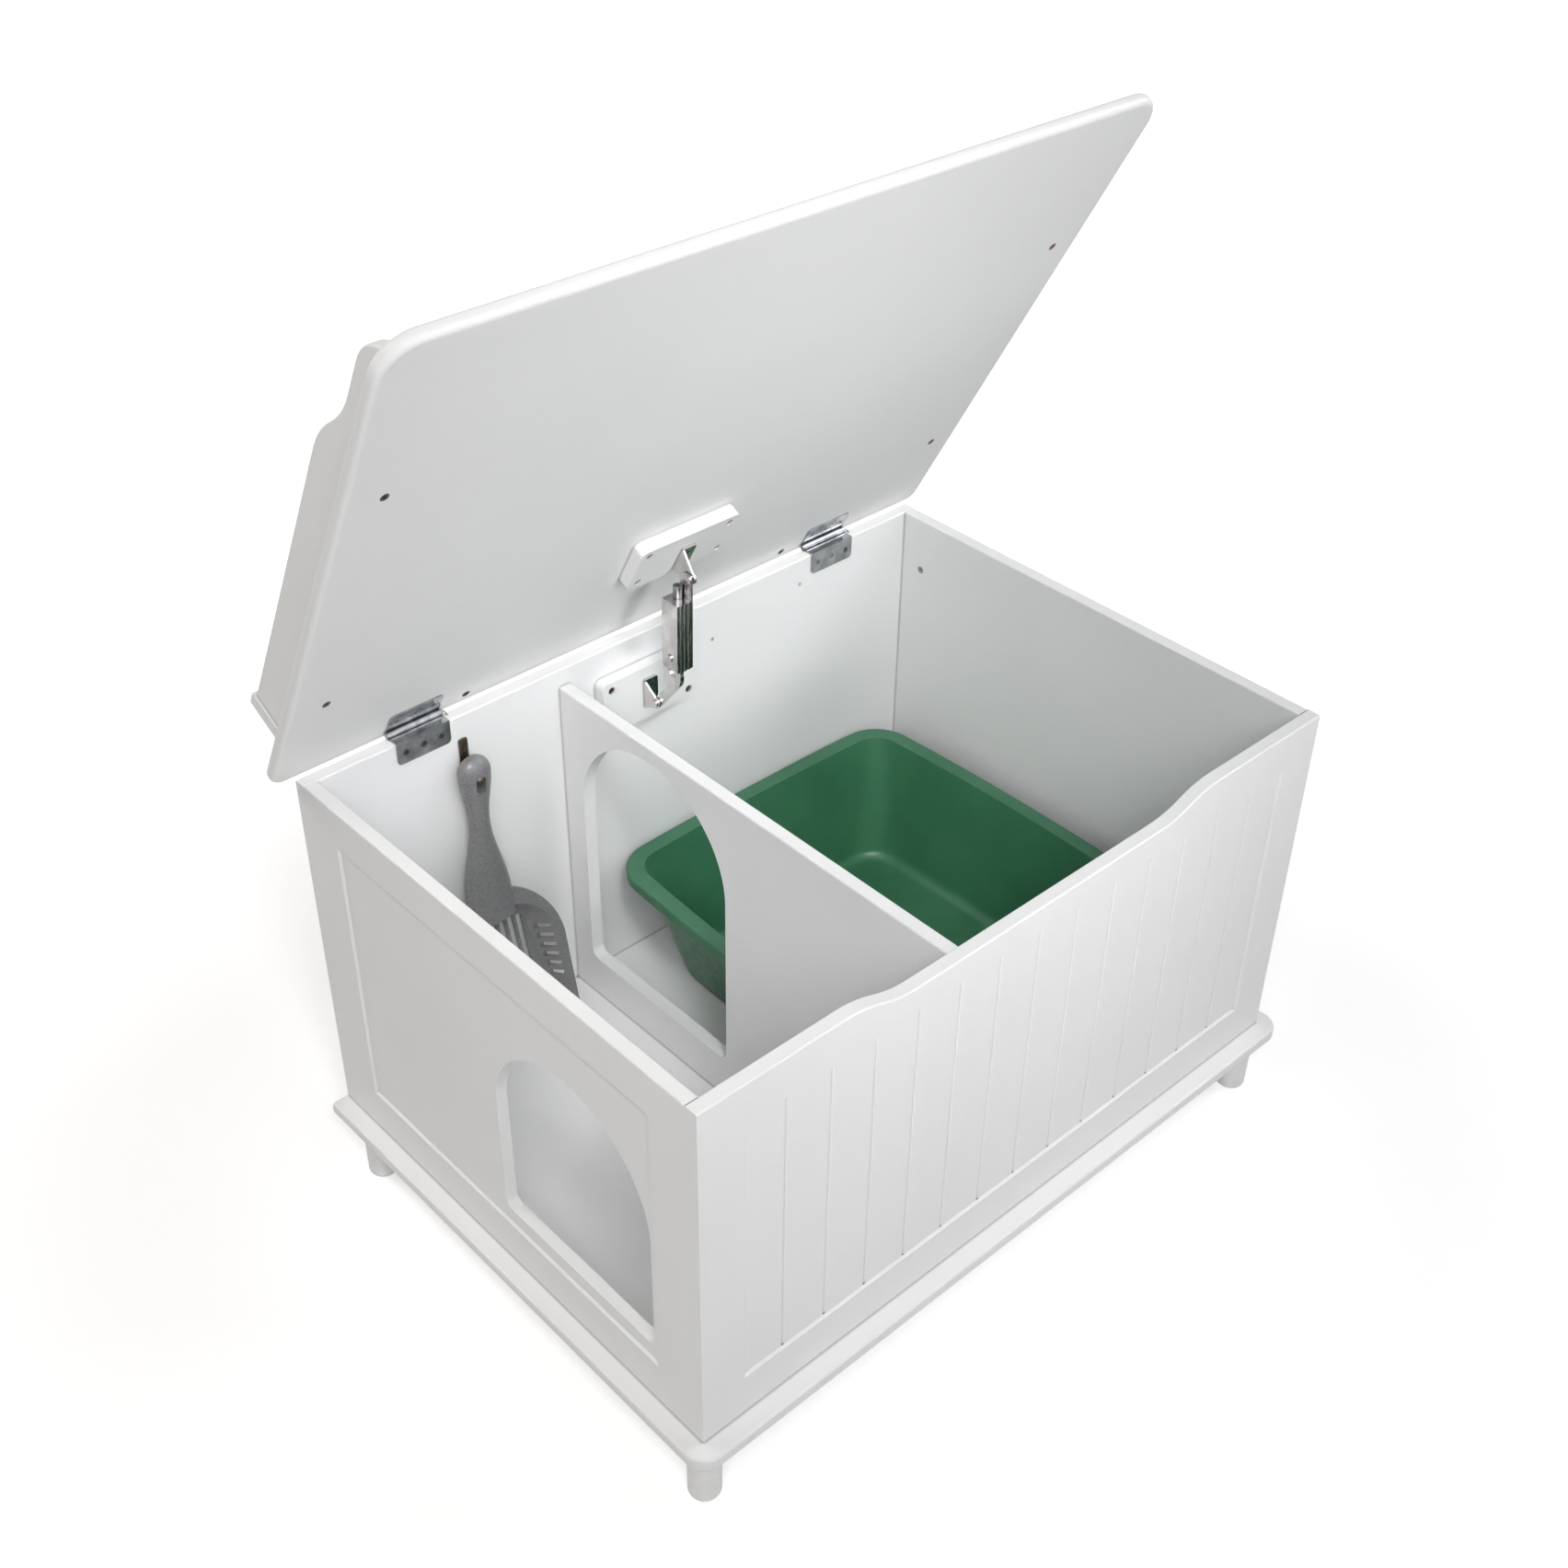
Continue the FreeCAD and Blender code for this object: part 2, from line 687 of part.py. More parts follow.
def bracket_screw(foot, upward, inward):
    """The screw of a bracket whose base line is centred on foot on the block's face."""
    at = foot + X_AXIS * bracket_screw_across + upward * bracket_screw_up - inward * bracket_thick
    return screw(board_screw, bracket_screw_length, at, inward)


def bracket_tip(foot, upward, inward, reach):
    return foot - inward * reach - upward * bracket_drop


def make_bracket(foot, upward, inward, reach, hole):
    """Angle bracket: a base on the block and a triangular wing that carries the pivot."""
    low = foot - upward * (bracket_base_length / 2)
    high = foot + upward * (bracket_base_length / 2)
    across = X_AXIS * bracket_base_width
    base = slab(outline([low, high, high + across, low + across]), inward * -bracket_thick)

    def free_corner(edge):
        return parallel_to(inward)(edge) and edge.Vertexes[0].X > foot.x + bracket_thick
    base = round_edges(base, bracket_base_round, free_corner)
    tip = bracket_tip(foot, upward, inward, reach)
    side = upward * bracket_tip_radius
    wing = slab(outline([low, high, tip + side, ("arc", tip - inward * bracket_tip_radius, tip - side)]),
                X_AXIS * bracket_thick)
    pivot = rod(rivet_radius, bracket_thick, tip, X_AXIS)
    return base.fuse(wing).cut(pivot).cut(hole).removeSplitter()


def lid_block_centre():
    return lid_point(lid_block_x, lid_block_run, -block_thick)


def lid_bracket_foot():
    return lid_point(lid_bracket_x, lid_bracket_run, -block_thick)


def wall_block_centre():
    return Vec(wall_block_x, rear_inner - block_thick, base_top + wall_block_z)


def stay_right_x():
    """The housing and its ear stand to the left of the lid bracket's wing."""
    return lid_bracket_x - side_gap


def stay_left_x():
    return stay_right_x() - stay_width


def arm_left_x():
    """The arm stands to the right of the wall bracket's wing."""
    return wall_bracket_x + bracket_thick + side_gap


def wall_bracket_foot():
    return Vec(wall_bracket_x, rear_inner - block_thick, base_top + wall_bracket_z)


def lid_pivot():
    """Pivot on the lid's bracket, with the lid open."""
    return opened(Part.Vertex(bracket_tip(lid_bracket_foot(), -Y_AXIS, Z_AXIS,
                                          lid_bracket_reach))).Point


def wall_pivot():
    return bracket_tip(wall_bracket_foot(), Z_AXIS, Y_AXIS, wall_bracket_reach)


def stay_placed(shape):
    pivot = lid_pivot()
    turned = shape.copy()
    turned.rotate(Vec(0, 0, 0), X_AXIS, stay_tilt_deg)
    turned.translate(Vec(0, pivot.y, pivot.z))
    return turned


def elbow():
    """Pivot between housing and arm, on the arm's left face."""
    return stay_placed(Part.Vertex(Vec(arm_left_x(), elbow_set, -elbow_drop))).Point


def make_stay_housing():
    """Channel with its ribbed web in front, open to the rear, and an ear up to the lid pivot."""
    left, right = stay_left_x(), stay_right_x()
    front, rear = stay_front_set, stay_front_set + stay_depth
    top, bottom = -stay_top_drop, -stay_top_drop - stay_length
    housing = box(left, right, front, rear, bottom, top)
    housing = housing.cut(box(left + stay_wall, right - stay_wall, front + stay_wall, rear + 1,
                              bottom - 1, top - stay_wall))
    for index in range(rib_count):
        x = left + (index + 1) * stay_width / (rib_count + 1)
        housing = housing.fuse(box(x - rib_width / 2, x + rib_width / 2, front - rib_height, front,
                                   bottom, top))
    ear_x, ear_rear = right - stay_wall, rear - ear_rear_set
    ear = slab(outline([Vec(ear_x, front, top), Vec(ear_x, ear_rear, top),
                        Vec(ear_x, ear_rear, ear_top - ear_slant),
                        Vec(ear_x, ear_rear - ear_slant, ear_top), Vec(ear_x, front, ear_top)]),
               Vec(stay_wall, 0, 0))
    ear = round_edges(ear, stay_wall, lambda edge: parallel_to(X_AXIS)(edge) and edge.Vertexes[0].Z > top / 2)
    housing = housing.fuse(ear)
    for y, z in ((0, 0), (elbow_set, -elbow_drop)):
        housing = housing.cut(rod(rivet_radius, stay_width, Vec(left, y, z), X_AXIS))
    bore = rod(adjuster_radius, stay_wall, adjuster_seat() - Z_AXIS * stay_wall, Z_AXIS)
    return stay_placed(housing.cut(bore).removeSplitter())


def adjuster_seat():
    """Where the adjusting screw's head sits on the top, in the untilted housing's own frame."""
    return Vec(stay_left_x() + stay_width / 2 + adjuster_right,
               stay_front_set + stay_depth / 2 + adjuster_rear, -stay_top_drop)


def make_adjuster():
    """Adjusting screw in the housing's top, with a cross recess."""
    seat = adjuster_seat()
    bolt = rod(adjuster_radius, adjuster_depth, seat - Z_AXIS * adjuster_depth, Z_AXIS)
    bolt = bolt.fuse(rod(adjuster_head_radius, adjuster_head_height, seat, Z_AXIS))
    arm, half = adjuster_head_radius * 0.6, cross_width / 2
    crown = seat.z + adjuster_head_height
    low = crown - adjuster_slot_depth
    for across, along in ((arm, half), (half, arm)):
        bolt = bolt.cut(box(seat.x - across, seat.x + across, seat.y - along, seat.y + along,
                            low, crown))
    return stay_placed(bolt)


def rivet(centre, left, right, head_left=True, head_right=True):
    """Rivet along X about a centre, from left to right, with flat heads where wanted."""
    start = Vec(left, centre.y, centre.z)
    body = rod(rivet_radius, right - left, start, X_AXIS)
    if head_left:
        head = Vec(left - rivet_head_thick, centre.y, centre.z)
        body = body.fuse(rod(rivet_head_radius, rivet_head_thick, head, X_AXIS))
    if head_right:
        head = Vec(right, centre.y, centre.z)
        body = body.fuse(rod(rivet_head_radius, rivet_head_thick, head, X_AXIS))
    return body


def make_stay_arm():
    """Hooked flat arm from the elbow in the housing, round a knee, to the wall pivot."""
    hub = elbow()
    tip = Vec(hub.x, wall_pivot().y, wall_pivot().z)

    def at(rearward, drop):
        return hub + Y_AXIS * rearward - Z_AXIS * drop
    run = tip - at((inner_bend_rear - knee_forward) / 2, (inner_bend_drop + knee_drop) / 2)
    run.normalize()
    side = X_AXIS.cross(run) * arm_end_radius
    points = [at(arm_hub_radius, 0), at(arm_rear, arm_rear_drop),
              at(inner_bend_rear + 1.0, inner_bend_drop - knee_reach),
              at(inner_bend_rear, inner_bend_drop),
              tip + side, ("arc", tip + run * arm_end_radius, tip - side),
              at(3.0 - knee_forward, knee_drop + knee_reach),
              ("arc", at(0.6 - knee_forward, knee_drop + knee_reach / 3),
               at(-knee_forward, knee_drop - knee_reach)),
              at(-arm_hub_radius, 0), ("arc", at(0, -arm_hub_radius), at(arm_hub_radius, 0))]
    arm = slab(outline(points), X_AXIS * arm_thick)
    for pivot in (hub, tip):
        arm = arm.cut(rod(rivet_radius + rivet_clearance, arm_thick, pivot, X_AXIS))
    return arm.cut(rod(arm_hole_radius, arm_thick, at(arm_hole_rear, arm_hole_drop), X_AXIS))


# ---------------------------------------------------------------- litter pan

def bowed_ring(width, length, bow_long, bow_short, corner, z):
    """Rounded rectangle whose four sides bow outwards, as a closed wire."""
    half_w, half_l = width / 2 - bow_long, length / 2 - bow_short
    x, y = pan_centre_x, pan_centre_y
    low_left, low_right = Vec(x - half_w, y - half_l, z), Vec(x + half_w, y - half_l, z)
    top_right, top_left = Vec(x + half_w, y + half_l, z), Vec(x - half_w, y + half_l, z)
    wire = outline([low_left, ("arc", Vec(x, y - half_l - bow_short, z), low_right),
                    ("arc", Vec(x + half_w + bow_long, y, z), top_right),
                    ("arc", Vec(x, y + half_l + bow_short, z), top_left),
                    ("arc", Vec(x - half_w - bow_long, y, z), low_left)])
    plate = round_edges(slab(wire, Vec(0, 0, 1.0)), corner, parallel_to(Z_AXIS))
    floor = [face for face in plate.Faces if face.BoundBox.ZMax < z + 1e-6][0]
    return floor.OuterWire


def pan_shell(inset):
    """Tapered body of the pan, drawn in by inset on every side."""
    wall_top_width = pan_width - 2 * pan_rim_width - 2 * inset
    wall_top_length = pan_length - 2 * pan_rim_width - 2 * inset
    floor_z = base_top + pan_floor_clear + inset
    drop = pan_draft * (pan_height - inset) / pan_height
    low = bowed_ring(wall_top_width - 2 * drop, wall_top_length - 2 * drop, pan_bow_long / 2,
                     pan_bow_short / 2, pan_base_corner_radius - inset, floor_z)
    high = bowed_ring(wall_top_width, wall_top_length, pan_bow_long, pan_bow_short,
                      pan_corner_radius - pan_rim_width - inset,
                      base_top + pan_floor_clear + pan_height)
    shell = Part.makeLoft([low, high], True, True)
    return round_edges(shell, pan_floor_round - inset,
                       lambda edge: max(v.Z for v in edge.Vertexes) < floor_z + 1e-6)


def make_litter_pan():
    """Deep pan with leaning bowed walls, a flat rim and a turned-down lip."""
    top = base_top + pan_floor_clear + pan_height

    def rim_slab(inset, low, high):
        ring = bowed_ring(pan_width - 2 * inset, pan_length - 2 * inset, pan_bow_long, pan_bow_short,
                          pan_corner_radius - inset, low)
        return slab(ring, Vec(0, 0, high - low))
    rim = rim_slab(0, top - pan_lip_height, top)
    rim = round_edges(rim, pan_wall * 0.8, lambda edge: min(v.Z for v in edge.Vertexes) > top - 1e-6)
    rim = rim.cut(rim_slab(pan_wall, top - pan_lip_height - 1, top - pan_wall))
    rim = rim.fuse(rim_slab(pan_rim_width, top - pan_wall, top))
    return rim.fuse(pan_shell(0)).cut(pan_shell(pan_wall)).removeSplitter()


# ---------------------------------------------------------------- scoop

def handle_section(width, thick, height, stand_off):
    ring = Part.Ellipse(Vec(0, 0, 0), width / 2, thick / 2).toShape()
    ring.translate(Vec(scoop_x, rear_inner - stand_off, base_top + height))
    return Part.Wire([ring])


def make_handle():
    """Handle: a round bulb on top, a waist, and shoulders that run out over the bowl's neck."""
    bulb = FreeCAD.Matrix()
    bulb.scale(bulb_width / 2, bulb_thick / 2, bulb_half_height)
    bulb.move(Vec(scoop_x, rear_inner - scoop_back_gap - bulb_thick / 2,
                  base_top + scoop_top_z - bulb_half_height))
    ball = Part.makeSphere(1.0).transformGeometry(bulb)
    rings = [handle_section(width, thick, height, stand_off)
             for height, width, thick, stand_off in handle_sections]
    return Part.makeLoft(rings, True, False).fuse(ball)


def drawn_in(shape, inset):
    """Half outline moved inwards by inset."""
    return [(half - inset * across, height - inset * down)
            for (half, height), (across, down) in zip(shape, inward_ways)]


def spade(half_shape, plane_y, below=0.0):
    """Closed spade outline from a half outline; plane_y gives y at a height."""
    (end, lip), shoulder, middle, neck = half_shape

    def at(side, half, height):
        return Vec(scoop_x + side * half, plane_y(height), base_top + height)
    return outline([at(-1, end, lip - below), at(1, end, lip - below), at(1, *shoulder),
                    ("arc", at(1, *middle), at(1, *neck)), at(-1, *neck),
                    ("arc", at(-1, *middle), at(-1, *shoulder))])


def floor_face(height):
    return rear_inner - floor_deep_gap + (height - floor_deep_z) * floor_slope


def rim_face(height):
    return floor_face(height) - bowl_depth


def make_bowl():
    """Slotted tray with leaning side walls and a flat rim, open at its lower end."""
    wall_top = drawn_in(rim_shape, rim_band - bowl_wall)
    outer = Part.makeLoft([spade(floor_shape, lambda height: floor_face(height) + bowl_wall),
                           spade(wall_top, rim_face)], True, True)
    inner = Part.makeLoft([spade(drawn_in(floor_shape, bowl_wall), floor_face, 3.0),
                           spade(drawn_in(wall_top, bowl_wall), lambda height: rim_face(height) - 0.2,
                                 3.0)], True, True)
    rim = slab(spade(rim_shape, rim_face), Y_AXIS * rim_thick)
    bowl = outer.fuse(rim).cut(inner)
    middle = (bowl_slot_count - 1) / 2
    wide = rim_shape[0][0]
    for index in range(bowl_slot_count):
        x = scoop_x + (index - middle) * bowl_slot_pitch
        reach = bowl_slot_top_z - abs(index - middle) * bowl_slot_pitch * bowl_slot_step
        bowl = bowl.cut(box(x - bowl_slot_width / 2, x + bowl_slot_width / 2,
                            floor_face(bowl_slot_bottom_z) - 1.0, rear_inner,
                            base_top + bowl_slot_bottom_z, base_top + reach))
    for index in range(side_slot_count):
        top = side_slot_top_z - index * side_slot_pitch
        middle_y = floor_face(top - side_slot_width / 2) - bowl_depth / 2
        half = bowl_depth / 2 - side_slot_margin
        bowl = bowl.cut(box(scoop_x - wide, scoop_x + wide, middle_y - half, middle_y + half,
                            base_top + top - side_slot_width, base_top + top))
    return bowl


def hole_top():
    return base_top + scoop_top_z - scoop_hole_drop


def make_scoop():
    scoop = make_handle().fuse(make_bowl())
    middle = Vec(scoop_x, rear_inner, hole_top() - scoop_hole_height / 2)
    hole = rounded_plate(middle, X_AXIS, Z_AXIS, scoop_hole_width, scoop_hole_height,
                         scoop_hole_width * 0.45, Y_AXIS * -(scoop_back_gap + bulb_thick + 1))
    return scoop.cut(hole)


def strap_screws():
    return [screw(strap_screw, strap_screw_length,
                  Vec(scoop_x, rear_inner - strap_thick, base_top + strap_top_z - drop), Y_AXIS)
            for drop in strap_screw_drops]


def make_strap(holes):
    """Small strap on the rear panel with a peg that the scoop hangs on."""
    strap = box(scoop_x - strap_width / 2, scoop_x + strap_width / 2, rear_inner - strap_thick,
                rear_inner, base_top + strap_bottom_z, base_top + strap_top_z)
    strap = round_edges(strap, 1.5, parallel_to(Y_AXIS))
    peg_z = hole_top() - peg_clear - peg_radius
    length = scoop_back_gap + bulb_thick + peg_tip_beyond - strap_thick
    peg = rod(peg_radius, length, Vec(scoop_x, rear_inner - strap_thick, peg_z), -Y_AXIS)
    peg = round_edges(peg, peg_radius * 0.6,
                      lambda edge: edge.Closed and edge.Vertexes[0].Y < rear_inner - length)
    return cut_all(strap.fuse(peg), holes)


# ---------------------------------------------------------------- assembly

def joined(screws):
    """One sub-part from several (screw, hole) pairs."""
    return Part.makeCompound([solid for solid, _ in screws])


def holes_of(screws):
    return [hole for _, hole in screws]


def hinge_sides():
    return {"left": -hinge_x, "right": hinge_x}


def wall_hinge_screws(centre_x):
    return [screw(small_screw, small_screw_length,
                  Vec(x, rear_inner - leaf_thick, body_top - leaf_width / 2), Y_AXIS)
            for x in hinge_screw_xs(centre_x)]


def lid_hinge_screws(centre_x):
    run = axis_from_lid_edge + barrel_radius + leaf_width / 2
    return [screw(small_screw, small_screw_length, lid_point(x, run, -leaf_thick), Z_AXIS)
            for x in hinge_screw_xs(centre_x)]


def side_panel_screw():
    at = Vec(side_inner, rear_inner - side_screw_from_rear, base_top + side_screw_z)
    return screw(board_screw, small_screw_length, at, X_AXIS)


def build_cabinet():
    save("base_plate", make_base_plate())
    for name, (x, y) in foot_places().items():
        save(name, make_foot(x, y))
    save("front_panel", make_front_panel())
    save("left_panel", make_left_panel())
    save("divider", make_divider())
    solid, hole = side_panel_screw()
    save("right_panel", make_side_panel(1).cut(hole))
    save("right_panel_screw", solid)

    hinge_screws = []
    for side, x in hinge_sides().items():
        screws = wall_hinge_screws(x)
        save("hinge_%s_wall_leaf" % side, make_wall_leaf(x, holes_of(screws)))
        save("hinge_%s_pin" % side, make_hinge_pin(x))
        hinge_screws += screws
    save("hinge_wall_screws", joined(hinge_screws))

    centre, up, back = wall_block_centre(), Z_AXIS, Y_AXIS
    on_block = block_screws(centre, X_AXIS, up, back)
    foot = wall_bracket_foot()
    solid, hole = bracket_screw(foot, up, back)
    save("wall_block", cut_all(make_block(centre, X_AXIS, up, back), holes_of(on_block) + [hole]))
    save("wall_block_screws", joined(on_block))
    save("wall_bracket", make_bracket(foot, up, back, wall_bracket_reach, hole))
    save("wall_bracket_screw", solid)
    save("wall_pivot_rivet", rivet(wall_pivot(), foot.x, arm_left_x() + arm_thick))

    on_strap = strap_screws()
    save("scoop_hanger", make_strap(holes_of(on_strap)))
    save("scoop_hanger_screws", joined(on_strap))
    save("rear_panel", cut_all(make_rear_panel(), holes_of(hinge_screws + on_block + on_strap)))


def build_lid():
    """All pieces of the lid, made closed and saved swung open."""
    hinge_screws = []
    for side, x in hinge_sides().items():
        screws = lid_hinge_screws(x)
        save("hinge_%s_lid_leaf" % side, opened(make_lid_leaf(x, holes_of(screws))))
        hinge_screws += screws
    save("hinge_lid_screws", opened(joined(hinge_screws)))

    centre, up, inward = lid_block_centre(), -Y_AXIS, Z_AXIS
    on_block = block_screws(centre, X_AXIS, up, inward)
    foot = lid_bracket_foot()
    solid, hole = bracket_screw(foot, up, inward)
    block = cut_all(make_block(centre, X_AXIS, up, inward), holes_of(on_block) + [hole])
    save("lid_block", opened(block))
    save("lid_block_screws", opened(joined(on_block)))
    save("lid_bracket", opened(make_bracket(foot, up, inward, lid_bracket_reach, hole)))
    save("lid_bracket_screw", opened(solid))
    save("lid_pivot_rivet", rivet(lid_pivot(), lid_bracket_x, lid_bracket_x + bracket_thick,
                                  head_left=False))

    on_rails = make_rail_screws()
    holes = holes_of(on_rails)
    save("lid_rail_left", opened(cut_all(make_side_rail(-1), holes)))
    save("lid_rail_right", opened(cut_all(make_side_rail(1), holes)))
    save("lid_rail_back", opened(cut_all(make_back_rail(), holes)))
    save("lid_rail_screws", opened(joined(on_rails)))
    save("lid_board", opened(cut_all(make_lid_board(), holes_of(on_rails + on_block + hinge_screws))))


def build_stay():
    left, right = stay_left_x(), stay_right_x()
    save("stay_housing", make_stay_housing())
    save("stay_adjuster", make_adjuster())
    save("stay_lid_rivet", rivet(lid_pivot(), right - stay_wall, right, head_right=False))
    save("stay_elbow_rivet", rivet(elbow(), left, right))
    save("stay_arm", make_stay_arm())


def build_loose_pieces():
    save("litter_pan", make_litter_pan())
    save("scoop", make_scoop())


os.makedirs("parts", exist_ok=True)
build_cabinet()
build_lid()
build_stay()
build_loose_pieces()
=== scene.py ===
import math

import bmesh
import bpy
from mathutils import Matrix, Vector


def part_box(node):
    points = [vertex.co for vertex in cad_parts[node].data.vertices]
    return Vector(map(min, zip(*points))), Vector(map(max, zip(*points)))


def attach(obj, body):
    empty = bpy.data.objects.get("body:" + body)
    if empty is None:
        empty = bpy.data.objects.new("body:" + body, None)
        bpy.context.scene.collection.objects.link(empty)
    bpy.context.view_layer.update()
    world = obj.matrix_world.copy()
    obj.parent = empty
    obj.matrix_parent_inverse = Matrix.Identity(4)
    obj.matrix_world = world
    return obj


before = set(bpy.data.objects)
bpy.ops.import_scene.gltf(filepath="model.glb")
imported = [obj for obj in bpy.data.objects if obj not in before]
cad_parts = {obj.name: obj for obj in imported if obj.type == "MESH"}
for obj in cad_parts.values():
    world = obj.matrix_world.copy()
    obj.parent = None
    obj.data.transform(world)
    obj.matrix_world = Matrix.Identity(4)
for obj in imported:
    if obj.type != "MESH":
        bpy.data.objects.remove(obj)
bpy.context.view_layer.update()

# Looks of the cat litter box cabinet. Lengths are in metres and angles in degrees.
MM = 0.001

# Bent ends of the hinge pins
TAIL_THICK = 1.6 * MM
TAIL_SIDES = 16
TAIL_SINK = 0.1 * MM          # how far a bent end starts inside its pin
TAIL_STEPS = (                # the way that a bent end takes, out of the barrel and down
    Vector((1.2 * MM, 0.0, 0.0)),
    Vector((1.0 * MM, -0.6 * MM, -0.4 * MM)),
    Vector((0.5 * MM, -1.4 * MM, -1.0 * MM)),
    Vector((0.2 * MM, -2.0 * MM, -1.5 * MM)),
)

# Camera, fitted to the photograph
CAMERA_PLACE = Vector((-0.884466, -0.929292, 1.294308))
CAMERA_AZIMUTH = -43.0165
CAMERA_ELEVATION = 36.6761
CAMERA_ROLL = 0.8131
CAMERA_LENS = 45.591
CAMERA_SENSOR = 36.0
CAMERA_REACH = 60.0

# Sky and floor
WHITE = (1.0, 1.0, 1.0, 1.0)
SKY_STRENGTH = 0.01
FLOOR_SIZE = 14.0
FLOOR_COLOUR = (0.86, 0.86, 0.86, 1.0)
FLOOR_LIFT_NEAR = 0.42        # light added to the floor, for the camera alone, at FLOOR_NEAR
FLOOR_LIFT_FAR = 1.0          # the same, at FLOOR_FAR
FLOOR_NEAR = 0.50             # distances from the origin between which that light grows
FLOOR_FAR = 1.25

# Lamps
COOL = (0.97, 0.975, 1.0)
NEUTRAL = (0.995, 0.99, 0.985)
WARM = (1.0, 0.965, 0.90)
BODY = (0.0, 0.0, 0.2)
WIDE = 180.0
LAMPS = (
    # name, place, what it points at, width, power in watts, colour, spread
    ("right", (2.6, -1.2, 2.6), BODY, 1.8, 42.0, COOL, WIDE),
    ("right_low", (2.4, -2.0, 1.5), BODY, 1.8, 8.0, COOL, WIDE),
    ("left", (-1.7, -2.0, 2.6), BODY, 2.0, 47.0, NEUTRAL, WIDE),
    ("left_low", (-2.2, -2.2, 1.7), BODY, 2.0, 9.0, NEUTRAL, WIDE),
    ("rear", (-1.4, 2.6, 2.4), (0.0, 0.0, 0.3), 2.0, 48.0, WARM, WIDE),
    ("lid", (0.1, -2.4, 1.15), (0.03, 0.1, 0.66), 0.7, 0.6, COOL, 24.0),
    ("inside", (-0.7, -1.5, 2.3), (0.08, 0.12, 0.22), 0.7, 0.52, NEUTRAL, 20.0),
)

# Patterns
NOISE_LOW = 0.35              # the span in which nearly all of a noise pattern lies
NOISE_HIGH = 0.65
# Painted shade in creases: how open a surface is decides how far its colour is darkened
CREASE_SHADE_LOW = 0.25             # openness of a crease that is darkened fully
CREASE_SHADE_HIGH = 0.85            # openness of a surface that isn't darkened
CREASE_SHADE_SAMPLES = 8

# Colours, linear
PAINT_LIGHT = (0.880, 0.882, 0.885, 1.0)
PAINT_DARK = (0.850, 0.851, 0.852, 1.0)
FOOT_LIGHT = (0.86, 0.86, 0.855, 1.0)
FOOT_DARK = (0.80, 0.80, 0.795, 1.0)
PAN_LIGHT = (0.050, 0.185, 0.098, 1.0)
PAN_DARK = (0.036, 0.150, 0.078, 1.0)
SCOOP_LIGHT = (0.215, 0.215, 0.220, 1.0)
SCOOP_DARK = (0.165, 0.165, 0.170, 1.0)
HINGE_LIGHT = (0.66, 0.67, 0.69, 1.0)
HINGE_DARK = (0.34, 0.36, 0.37, 1.0)
HEAD_LIGHT = (0.52, 0.52, 0.53, 1.0)
HEAD_DARK = (0.16, 0.16, 0.17, 1.0)
BROWN_LIGHT = (0.30, 0.22, 0.16, 1.0)
BROWN_DARK = (0.11, 0.08, 0.06, 1.0)
STAY_LIGHT = (0.76, 0.74, 0.73, 1.0)
STAY_DARK = (0.60, 0.58, 0.57, 1.0)
BRONZE_LIGHT = (0.34, 0.27, 0.20, 1.0)
BRONZE_DARK = (0.20, 0.155, 0.115, 1.0)


# ---------------------------------------------------------------- materials

